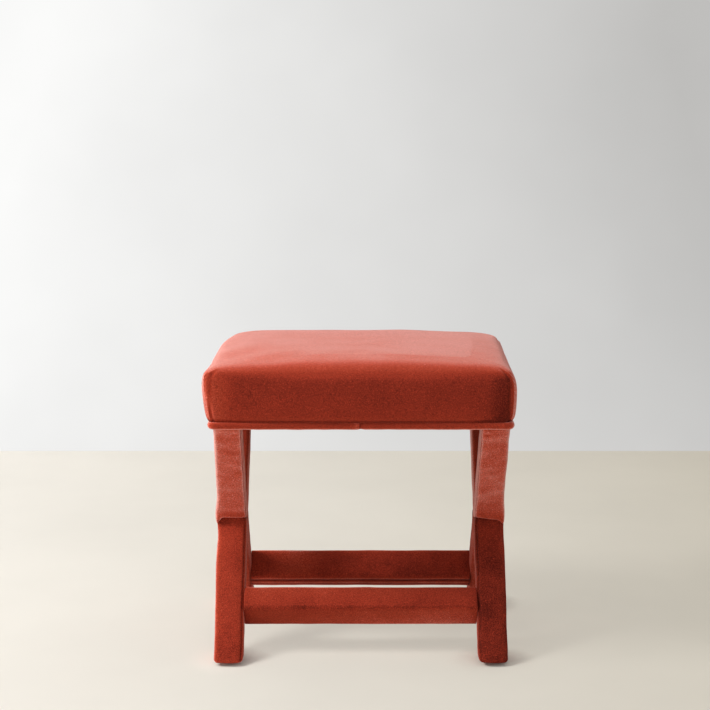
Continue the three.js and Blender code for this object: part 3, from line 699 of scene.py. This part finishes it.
def piping(name, radius, pull, material, node):
    """A tube round the seat's lower edge, with painted light on its velvet. Pull is how much of the stitches' pull it
    shows.
    """
    bm = bmesh.new()
    bmesh.ops.create_grid(bm, x_segments=WELT_STEPS, y_segments=WELT_ROUND_STEPS, size=1)
    half_x = welt_high.x - welt_radius + WELT_PROUD
    half_y = welt_high.y - welt_radius + 0.4

    def place(u, v, _):
        share = (u + 1) / 2
        (x, y), outward = outline_point(share, half_x, half_y, WELT_CORNER_RADIUS)
        angle = math.pi * v
        from_join = (min(share, 1 - share) * 4 * (half_x + half_y)) + (0.3 if share > 0.5 else 0.0)
        left_of_join = 1.0 if share > 0.5 else 0.0
        pinch = 1.6 * bump(from_join, 0.0, 1.6)
        pucker = 0.5 * left_of_join * bump(from_join, 6.0, 5.0) * math.sin(from_join * 1.6 + 2 * v)
        uneven = waves((x, y, 0), 28.0, 1.0) * 0.45 + waves((x, y, 9 * v), 9.0, 5.0) * 0.25
        size = radius + pull * (uneven + pucker - pinch)
        lift = waves((x, y, 0), 90.0, 8.0) * 0.6
        point = Vector((
            x + outward.x * size * math.cos(angle), y + outward.y * size * math.cos(angle),
            (welt_low.z + welt_high.z) / 2 - WELT_DROP + lift + size * math.sin(angle)
        ))
        # Painted light: a highlight along the lower rim and towards the right end, light and shade on puckers, shade
        # at the join
        line = bump(v, -0.35, 0.12)
        painted_light = 0.15 + 0.35 * line + 0.12 * smooth_step(x, 100, half_x)
        return point, painted_light + 1.2 * pucker - 1.1 * bump(from_join, 0.0, 1.8)

    nap_and_painted_light = bm.verts.layers.float.new("nap_and_painted_light")
    for vertex in bm.verts:
        vertex.co, vertex[nap_and_painted_light] = place(*vertex.co)
    bmesh.ops.remove_doubles(bm, verts=bm.verts, dist=0.02)
    bmesh.ops.recalc_face_normals(bm, faces=bm.faces)
    finish_piece(bm, name, material, [node], 1)


# Legs: velvet over wadding, tucked under each other at the crossing

FOOT_ROUNDING = 1.2
HEAD_ROUNDING = 0.8
LEG_CUTS = (19, 19, 63)
LEG_PADDING_CUTS = (7, 7, 31)
LEFT_LEG_SHIFT = 1.4            # the upper covers on the left sit this far inwards at their heads
FOOT_SAG = 1.6                  # the foot end of a cover hangs this far below its frame
DIMPLE_INSET = 14.0             # a tack pulls the velvet in, near the head of each upper cover
DIMPLE_DROP = 15.0


def end_shrink(distance, rounding):
    """How much smaller a bar's section is near its rounded end."""
    left = 1 - min(distance / rounding, 1.0)
    return rounding * (1 - math.sqrt(1 - left * left))


def outer_swell(height, side):
    """How far the outer side stands out, from the pull of the cloth on the padding."""
    at_fold, at_top = (4.8, 1.6) if side < 0 else (2.8, 0.8)
    return (
        at_fold * bump(height, crossing_height + 12, 24) + 2.6 * bump(height, crossing_height - 75, 60)
        - at_top * smooth_step(height, crossing_height + 60, arm_high.z - 30)
    )


def inner_edge(x, v_mm, half_x, half_v):
    """Distance round the inner front edge of a leg, from where the inner side starts to turn."""
    radius = BAR_EDGE_RADIUS
    side_way, front_way = -x - (half_x - radius), v_mm - (half_v - radius)
    if side_way > 0 and front_way > 0:
        return radius * math.atan2(front_way, side_way)
    if front_way <= 0:
        return front_way if side_way > 0 else -half_x
    return radius * math.pi / 2 - side_way


def closing_seam(round_way, along_mm, level, seed):
    """How far the closing seam stands out, and its painted light: a highlight on its ridge, painted shade in its
    groove.
    """
    wander = 1.6 * waves((along_mm, 0, 0), 38.0, seed)
    if level > 0:
        ridge = bump(round_way, 5.5 + wander, 1.1)
        groove = bump(round_way, 3.2 + wander, 1.3)
        return 0.9 * ridge - 1.0 * groove, 0.6 * ridge - 0.9 * groove
    ridge = bump(round_way, 1.0 + wander, 1.2)
    groove = bump(round_way, 6.4 + wander, 1.5)
    return 0.7 * ridge - 1.4 * groove, 0.35 * ridge - 1.4 * groove


def leg_place(side, end, level, seed, depth=0.0):
    """Gives the place of a block's point on one leg, at a depth under its cover's face.

    Across is outwards and out is away from the X's middle.
    """
    def place(u, v, w):
        across, out = ease(u), ease(v)
        along = (w + 1) / 2
        along = 0.5 * along + 0.5 * (1 - math.cos(math.pi * along)) / 2
        cap = abs(w) > 0.999
        ring = max(abs(across), abs(out)) if cap else 1.0
        p, q = (across / ring, out / ring) if ring else (0.0, 0.0)
        if not cap:
            p, q = across, out
        length = frame_half_height / lean_cos
        from_far = (1 - along) * length
        from_cross = along * length
        shrink = end_shrink(from_far, HEAD_ROUNDING if level > 0 else FOOT_ROUNDING)
        shrink += depth + 1.0 * math.exp(-from_cross / 2.0)
        half_x, half_v = leg_thickness / 2 - shrink, LEG_WIDTH / 2 - shrink
        x, v_mm = rounded_ring(p, q, half_x + BAR_BOW, half_v + BAR_BOW, BAR_EDGE_RADIUS, BAR_BOW)
        x, v_mm = x * ring, v_mm * ring

        round_way = inner_edge(x, v_mm, half_x, half_v)
        plain = cap or depth
        stand, painted_light = (0.0, 0.0) if plain else closing_seam(round_way, from_cross, level, seed)
        if level > 0:
            dimple = math.hypot(x + DIMPLE_INSET, from_far - DIMPLE_DROP) / 3.6
            v_mm -= 1.7 * math.exp(-dimple * dimple) * smooth_step(v_mm, 0, half_v)
        turn = min(max(round_way / BAR_EDGE_RADIUS, 0.0), math.pi / 2)
        x -= stand * math.cos(turn)
        v_mm += stand * math.sin(turn)

        crease = waves((0.3 * x, from_far + 0.25 * x, 0.0), 17.0, seed + 2.0)
        front = smooth_step(v_mm, 0.2 * half_v, half_v)
        if level > 0:
            v_mm += 0.7 * crease * front
        fold = FOLD_RISE * front
        start = max(
            -(TUCK / 2 + v_mm * lean_cos) / lean_sin, (v_mm * lean_sin - TUCK / 2 + level * fold) / lean_cos
        )
        reach = frame_half_height + (FOOT_SAG if level < 0 else 0.0)
        stop = (reach + v_mm * lean_sin) / lean_cos
        t = start + depth + (stop - start - 2 * depth) * along
        y = v_mm * lean_cos + t * lean_sin
        z = level * (t * lean_cos - v_mm * lean_sin)
        if level < 0:
            filled = LEG_WIDTH / 2 / lean_cos + FOLD_RISE * lean_sin / lean_cos - FOLD_DEPTH - depth
            filled_y = (y + filled + math.hypot(y - filled, 6.0)) / 2
            y += front * (filled_y - y) * (1 - smooth_step(-z, 5, 50))
        else:
            roll = 2.6 * bump(from_cross, 5.0, 8.0) - 3.0 * math.exp(-from_cross / 1.5)
            y += front * roll * lean_cos
            z -= front * roll * lean_sin
            outer = smooth_step(x, 0.6 * half_x, 0.92 * half_x) * front
            hang = outer * math.exp(-from_cross / 14)
            drop, slope = LOBE_DROPS[side]
            z -= drop * hang + slope * front * (x + half_x) / (2 * half_x) * math.exp(-from_cross / 20)
            x += 1.6 * hang
        x += outer_swell(crossing_height + z, side) * smooth_step(x, 0, half_x)
        if side < 0:
            x -= LEFT_LEG_SHIFT * smooth_step(z, 60, frame_half_height)
        point = Vector((side * (leg_middle + x), end * y, crossing_height + z))
        # Painted light and shade: highlights on rounded edges, seam ridge and foot hem, shade in seam groove and
        # inner side
        edge = min(abs(x) / half_x, abs(v_mm) / half_v) ** 6
        hem = bump(from_far, 1.5, 1.2) if level < 0 and not cap else 0.0
        inside = smooth_step(-x, 0.75 * half_x, half_x) * (1 - smooth_step(v_mm, 0.6 * half_v, half_v))
        inner_painted_shade = 0.5 if level < 0 else (-0.15 if side > 0 else 0.2)
        nap_and_painted_light = 0.08 * edge + painted_light + 0.4 * hem - inner_painted_shade * inside
        if level > 0:
            # Painted light on an upper cover: paler front, left outer rim and crease streaks, painted shade under its
            # lip
            rim = smooth_step(x, half_x - 14, half_x - 3) if side < 0 else 0.0
            nap_and_painted_light += front * (0.31 + 0.2 * rim + 0.16 * crease) - 1.3 * math.exp(-from_cross / 3.0)
        else:
            # Painted shadow under the fold, and painted shade over the right legs' fronts, deeper towards the foot
            shaded = 1.15 + 0.45 * smooth_step(from_cross, 40, 220) if side > 0 else 0.0
            nap_and_painted_light -= front * (1.6 * math.exp(-from_cross / 4.5) + shaded)
        return point, max(-2.0, nap_and_painted_light)
    return place


def leg(side_name, side, end_name, end, level_name, level):
    name = f"{side_name}_{end_name}_{level_name}_leg"
    seed = 11.0 * side + 5.0 * end + 3.0 * level
    bm = divided_block(*LEG_CUTS)
    shape(bm, leg_place(side, end, level, seed))
    unevenness(bm, ((0.9, 60.0), (0.4, 17.0)), seed)
    piece = finish_piece(bm, f"{name}_cover", tight_velvet, [f"{name}_velvet"], 1)
    bm = divided_block(*LEG_PADDING_CUTS)
    shape(bm, leg_place(side, end, level, seed, LEG_PADDING_DEPTH))
    finish_piece(bm, f"{name}_padding", wadding, [f"{name}_wadding"], 1)


# Stretchers

STRETCHER_CUTS = (63, 15, 47)
STRETCHER_END_ROUNDING = 1.0
STRETCHER_TURN = math.radians(13)   # the covers are drawn round the cores, down towards the outside
STRETCHER_PADDING_DEPTH = 2.6


def stretcher_place(end_name, end, depth):
    """Gives the place of a block's point on a stretcher, at a depth under the cover's face."""
    lift, width = STRETCHER_LIFT[end_name], STRETCHER_WIDTHS[end_name]
    half_length = bar_high.x - depth
    turn_sin, turn_cos = math.sin(leg_tilt + STRETCHER_TURN), math.cos(leg_tilt + STRETCHER_TURN)
    middle_y = foot_reach - math.tan(leg_tilt) * (STRETCHER_HEIGHT - foot_low.z)

    def place(u, v, w):
        cap = abs(u) > 0.999
        across, down = ease(v), ease(w)
        ring = max(abs(across), abs(down)) if cap else 1.0
        p, q = (across / ring, down / ring) if cap and ring else (across, down)
        from_end = (1 - abs(ease(u))) * half_length
        shrink = end_shrink(from_end, STRETCHER_END_ROUNDING) + depth
        half_out, half_down = width / 2 - shrink, STRETCHER_THICKNESS / 2 - shrink
        out, along = rounded_ring(p, q, half_out + BAR_BOW, half_down + BAR_BOW, BAR_EDGE_RADIUS, BAR_BOW)
        out, along = out * ring, along * ring
        # The closing seam runs along the face that looks at the other stretcher
        inner = smooth_step(-out, half_out - 4, half_out)
        ridge = bump(along, -18.0, 2.4) + 0.9 * bump(along, 1.5, 2.5) + 0.5 * bump(along, 12.0, 2.0)
        grooves = 1.2 * bump(along, -8.5, 2.8) + 0.6 * bump(along, 7.0, 1.8)
        out -= 0.0 if depth else inner * (0.4 * ridge - 0.9 * grooves)
        y = middle_y + out * turn_cos + along * turn_sin
        z = STRETCHER_HEIGHT + lift + out * turn_sin - along * turn_cos
        # Painted light and shade: highlights on rounded edges and seam ridges, shade in grooves, on the inner face,
        # near each end
        edge = min(abs(out) / half_out, abs(along) / half_down) ** 6
        painted_light = inner * (0.25 * ridge - 1.8 * grooves - 0.15)
        ends = math.exp(-from_end / 7.0)
        below = smooth_step(along, half_down - 8, half_down - 1)
        # Painted shade: front bar from lower face at left to upper face at right; rear bar darker, lighter towards
        # its left end
        if end < 0:
            share = smooth_step(ease(u), -0.6, 1.0)
            shaded = below * (0.45 - 0.65 * share) + 0.68 * share * (1 - below)
        else:
            shaded = 0.2 - 0.6 * (1 - inner) * bump(ease(u), -0.6, 0.25)
        nap_and_painted_light = 0.1 * edge + painted_light - 0.6 * ends - shaded
        return Vector((ease(u) * half_length, end * y, z)), max(-2.0, nap_and_painted_light)
    return place


def stretcher(end_name, end):
    bm = divided_block(*STRETCHER_CUTS)
    shape(bm, stretcher_place(end_name, end, 0.0))
    unevenness(bm, ((0.6, 60.0), (0.3, 20.0)), 20.0 + 7.0 * end)
    piece = finish_piece(
        bm, f"{end_name}_stretcher_cover", tight_velvet, [f"{end_name}_stretcher_velvet"], 1
    )


def stretcher_padding(end_name, end):
    bm = divided_block(7, 7, 7)
    shape(bm, stretcher_place(end_name, end, STRETCHER_PADDING_DEPTH))
    finish_piece(
        bm, f"{end_name}_stretcher_padding", wadding, [f"{end_name}_stretcher_wadding"], 1
    )


# Glides

def turned(profile, steps):
    """A closed form spun round the upright axis from points of radius and height."""
    bm = bmesh.new()
    verts = [bm.verts.new((radius, 0, height)) for radius, height in profile]
    edges = [bm.edges.new(pair) for pair in zip(verts, verts[1:])]
    bmesh.ops.spin(
        bm, geom=verts + edges, cent=(0, 0, 0), axis=(0, 0, 1), dvec=(0, 0, 0), angle=2 * math.pi,
        steps=steps, use_merge=True
    )
    bmesh.ops.remove_doubles(bm, verts=bm.verts, dist=0.01)
    bmesh.ops.recalc_face_normals(bm, faces=bm.faces)
    return bm


def glide(name):
    low, high = node_box(name)
    radius = (high.x - low.x) / 2
    nail = 1.6
    bm = turned([
        (0, 0.5), (radius - 5.0, 0.5), (radius - 4.2, 0), (radius - 2.6, 0), (radius - 1.0, 0.5), (radius - 0.2, 1.5),
        (radius, 2.6), (radius, 6.2), (radius - 0.3, 7.2), (radius - 1.2, 7.9), (nail, 8.0), (nail, high.z - 3.0),
        (0, high.z)
    ], 48)
    bmesh.ops.translate(bm, verts=bm.verts, vec=((low.x + high.x) / 2, (low.y + high.y) / 2, 0))
    finish_piece(bm, f"{name}_disc", nylon, [name])


# Dust cover and its staples

STAPLE_SPACING = 34.0
STAPLE_LENGTH = 10.0
STAPLE_THICKNESS = 0.9
STAPLE_MARGIN = 9.0


def dust_cover():
    bm = bmesh.new()
    bmesh.ops.create_grid(bm, x_segments=60, y_segments=50, size=1)
    half_x, half_y = cloth_high.x, cloth_high.y
    thickness = cloth_high.z - cloth_low.z
    for vertex in bm.verts:
        u, v, _ = vertex.co
        x, y = rounded_ring(u, v, half_x, half_y, 6.0, 0.0)
        slack = (1 - u * u) * (1 - v * v)
        gather = waves((x, y, 0), 25.0, 4.0) * 0.25
        vertex.co = Vector((x, y, cloth_high.z - 0.4 * thickness + 1.2 * slack + gather * slack))
    bmesh.ops.recalc_face_normals(bm, faces=bm.faces)
    piece = finish_piece(bm, "dust_cover_cloth", cambric, ["dust_cover"])
    wall = piece.modifiers.new("thickness", "SOLIDIFY")
    wall.thickness = 0.4 * thickness * MM


def staple(bm, x, y, along_x):
    """One staple's crown, lying flat against the cloth."""
    made = bmesh.ops.create_cube(bm, size=1)["verts"]
    length, width = STAPLE_LENGTH, STAPLE_THICKNESS * 1.3
    bmesh.ops.scale(
        bm, verts=made, vec=(length if along_x else width, width if along_x else length, STAPLE_THICKNESS)
    )
    bmesh.ops.translate(bm, verts=made, vec=(x, y, cloth_low.z + STAPLE_THICKNESS / 2 - 0.2))


def staples():
    bm = bmesh.new()
    edge_x, edge_y = cloth_high.x - STAPLE_MARGIN, cloth_high.y - STAPLE_MARGIN
    free_x = foot_low.x - 2 * STAPLE_LENGTH
    free_y = cloth_high.y - 95.0
    for i in range(int(2 * free_x / STAPLE_SPACING) + 1):
        x = -free_x + i * STAPLE_SPACING
        for y in (-edge_y, edge_y):
            staple(bm, x, y, True)
    for i in range(int(2 * free_y / STAPLE_SPACING) + 1):
        y = -free_y + i * STAPLE_SPACING
        for x in (-edge_x, edge_x):
            staple(bm, x, y, False)
    bmesh.ops.bevel(
        bm, geom=bm.edges[:], offset=0.25, offset_type="OFFSET", segments=2, profile=0.5, affect="EDGES",
        material=-1
    )
    finish_piece(bm, "dust_cover_staples", steel)


# Pieces of the frame that keep their CAD shape

def dress_inner_nodes():
    """Gives the pieces inside the covers their real finish."""
    finishes = {
        "hardwood": beech, "plywood": plywood, "foam": foam, "wadding": wadding, "piping_cotton": cotton,
        "fastener_steel": steel, "glide_nylon": nylon, "cambric": cambric, "velvet": velvet
    }
    slots = {part["node"]: part["material_slot"] for part in frame["record"]["subparts"]}
    for name, node in frame["nodes"].items():
        node.data.materials.clear()
        node.data.materials.append(finishes[slots[name]])


# Studio

FLOOR_SIZE = 9000.0
FLOOR_LIT_AND_SHADED_COLOURS = ("#ece7de", "#cfc8b9")
WALL_LIT_AND_SHADED_COLOURS = ("#fbfbfa", "#bfbebc")
WALL_DISTANCE = 1425.0
GRADIENT_REACH = 900.0          # painted shade darkens the studio from left to right over twice this


def studio_material(name, colours, height_effect, shadow_share, foot_share=0.0):
    """Matt paint with painted shade that darkens it from left to right, seen only from its front.

    The camera sees it partly as a plain backdrop, so that a shadow on it is as pale as its share says.
    Close to the feet the share is larger by foot_share.
    """
    material, tree, place = new_material(name)
    across = add_node(tree, "ShaderNodeSeparateXYZ", None, {"Vector": place})
    # Painted shade from the lit left to the darker right, sloped by height on the wall
    share = remap(tree, across.outputs["X"], -GRADIENT_REACH, GRADIENT_REACH, 0.0, 1.0)
    if height_effect:
        tilt = remap(tree, across.outputs["Y"], 0.0, 1000.0, 1 - height_effect, 1 + height_effect)
        share = maths(tree, "ADD", maths(tree, "MULTIPLY", maths(tree, "SUBTRACT", share, 0.5), tilt), 0.5)
    shade = mix_colour(tree, share, linear(colours[0]), linear(colours[1]))
    spots = remap(tree, noise_value(tree, place, 500.0, 3.0), 0.3, 0.7, 0.97, 1.03)
    shade = mix_colour(tree, 1.0, shade, spots, "MULTIPLY")
    paint = add_node(tree, "ShaderNodeBsdfPrincipled", None, {
        "Base Color": shade, "Roughness": 0.9, "Specular IOR Level": 0.1
    })
    backdrop = add_node(tree, "ShaderNodeEmission", None, {"Color": shade})
    if foot_share:
        folded = add_node(tree, "ShaderNodeVectorMath", {"operation": "ABSOLUTE"}, {0: place})
        foot = (leg_middle, foot_reach, 0.0)
        away = add_node(tree, "ShaderNodeVectorMath", {"operation": "DISTANCE"}, {
            0: folded.outputs["Vector"], 1: foot
        })
        near = remap(tree, away.outputs["Value"], 20.0, 75.0, foot_share, 0.0)
        shadow_share = maths(tree, "ADD", near, shadow_share)
    seen = add_node(tree, "ShaderNodeLightPath").outputs["Is Camera Ray"]
    plain = add_node(tree, "ShaderNodeMixShader", None, {
        0: maths(tree, "MULTIPLY", seen, maths(tree, "SUBTRACT", 1.0, shadow_share)), 1: paint.outputs["BSDF"],
        2: backdrop.outputs["Emission"]
    })
    clear = add_node(tree, "ShaderNodeBsdfTransparent")
    back = add_node(tree, "ShaderNodeNewGeometry").outputs["Backfacing"]
    one_sided = add_node(tree, "ShaderNodeMixShader", None, {
        0: back, 1: plain.outputs["Shader"], 2: clear.outputs["BSDF"]
    })
    add_node(tree, "ShaderNodeOutputMaterial", None, {"Surface": one_sided.outputs["Shader"]})
    return material


def studio_plane(name, material, turn, place):
    bm = bmesh.new()
    bmesh.ops.create_grid(bm, x_segments=1, y_segments=1, size=FLOOR_SIZE / 2 * MM)
    mesh = bpy.data.meshes.new(name)
    bm.to_mesh(mesh)
    bm.free()
    mesh.materials.append(material)
    plane = bpy.data.objects.new(name, mesh)
    plane.rotation_euler = turn
    plane.location = Vector(place) * MM
    bpy.context.scene.collection.objects.link(plane)


def area_light(name, place, target, size, power, colour="#ffffff"):
    lamp = bpy.data.lights.new(name, "AREA")
    lamp.size = size * MM
    lamp.energy = power
    lamp.color = linear(colour)[:3]
    light = bpy.data.objects.new(name, lamp)
    light.location = Vector(place) * MM
    aim = Vector(target) * MM - light.location
    light.rotation_mode = "QUATERNION"
    light.rotation_quaternion = aim.to_track_quat("-Z", "Y")
    bpy.context.scene.collection.objects.link(light)


def make_studio():
    floor_paint = studio_material("floor_paint", FLOOR_LIT_AND_SHADED_COLOURS, 0.0, 0.38, 0.6)
    wall_paint = studio_material("wall_paint", WALL_LIT_AND_SHADED_COLOURS, 0.25, 0.0)
    studio_plane("floor", floor_paint, (0, 0, 0), (0, 0, 0))
    studio_plane("wall", wall_paint, (math.pi / 2, 0, 0), (0, WALL_DISTANCE, 0))
    middle = (0, 0, 300)
    area_light("key", (-2200, -700, 2050), middle, 900, 73)
    area_light("fill", (1000, -3200, 1500), middle, 2400, 10)
    world = bpy.data.worlds.new("studio")
    world.use_nodes = True
    sky = world.node_tree.nodes["Background"]
    sky.inputs["Color"].default_value = linear("#f4f6f8")
    sky.inputs["Strength"].default_value = 0.64
    bpy.context.scene.world = world
    bpy.context.scene.view_settings.view_transform = "Standard"


# Assembly

SIDES = (("left", -1), ("right", 1))
ENDS = (("front", -1), ("rear", 1))
LEVELS = (("lower", -1), ("upper", 1))

dress_inner_nodes()
seat_cover()
seat_padding()
piping("seat_welt", welt_radius, 1.0, velvet, "welt_strip")
piping("seat_welt_cord", CORD_RADIUS, 0.0, cotton, "welt_cord")
for side_name, side in SIDES:
    for end_name, end in ENDS:
        for level_name, level in LEVELS:
            leg(side_name, side, end_name, end, level_name, level)
        glide(f"{end_name}_{side_name}_glide")
for end_name, end in ENDS:
    stretcher(end_name, end)
    stretcher_padding(end_name, end)
dust_cover()
staples()
make_studio()
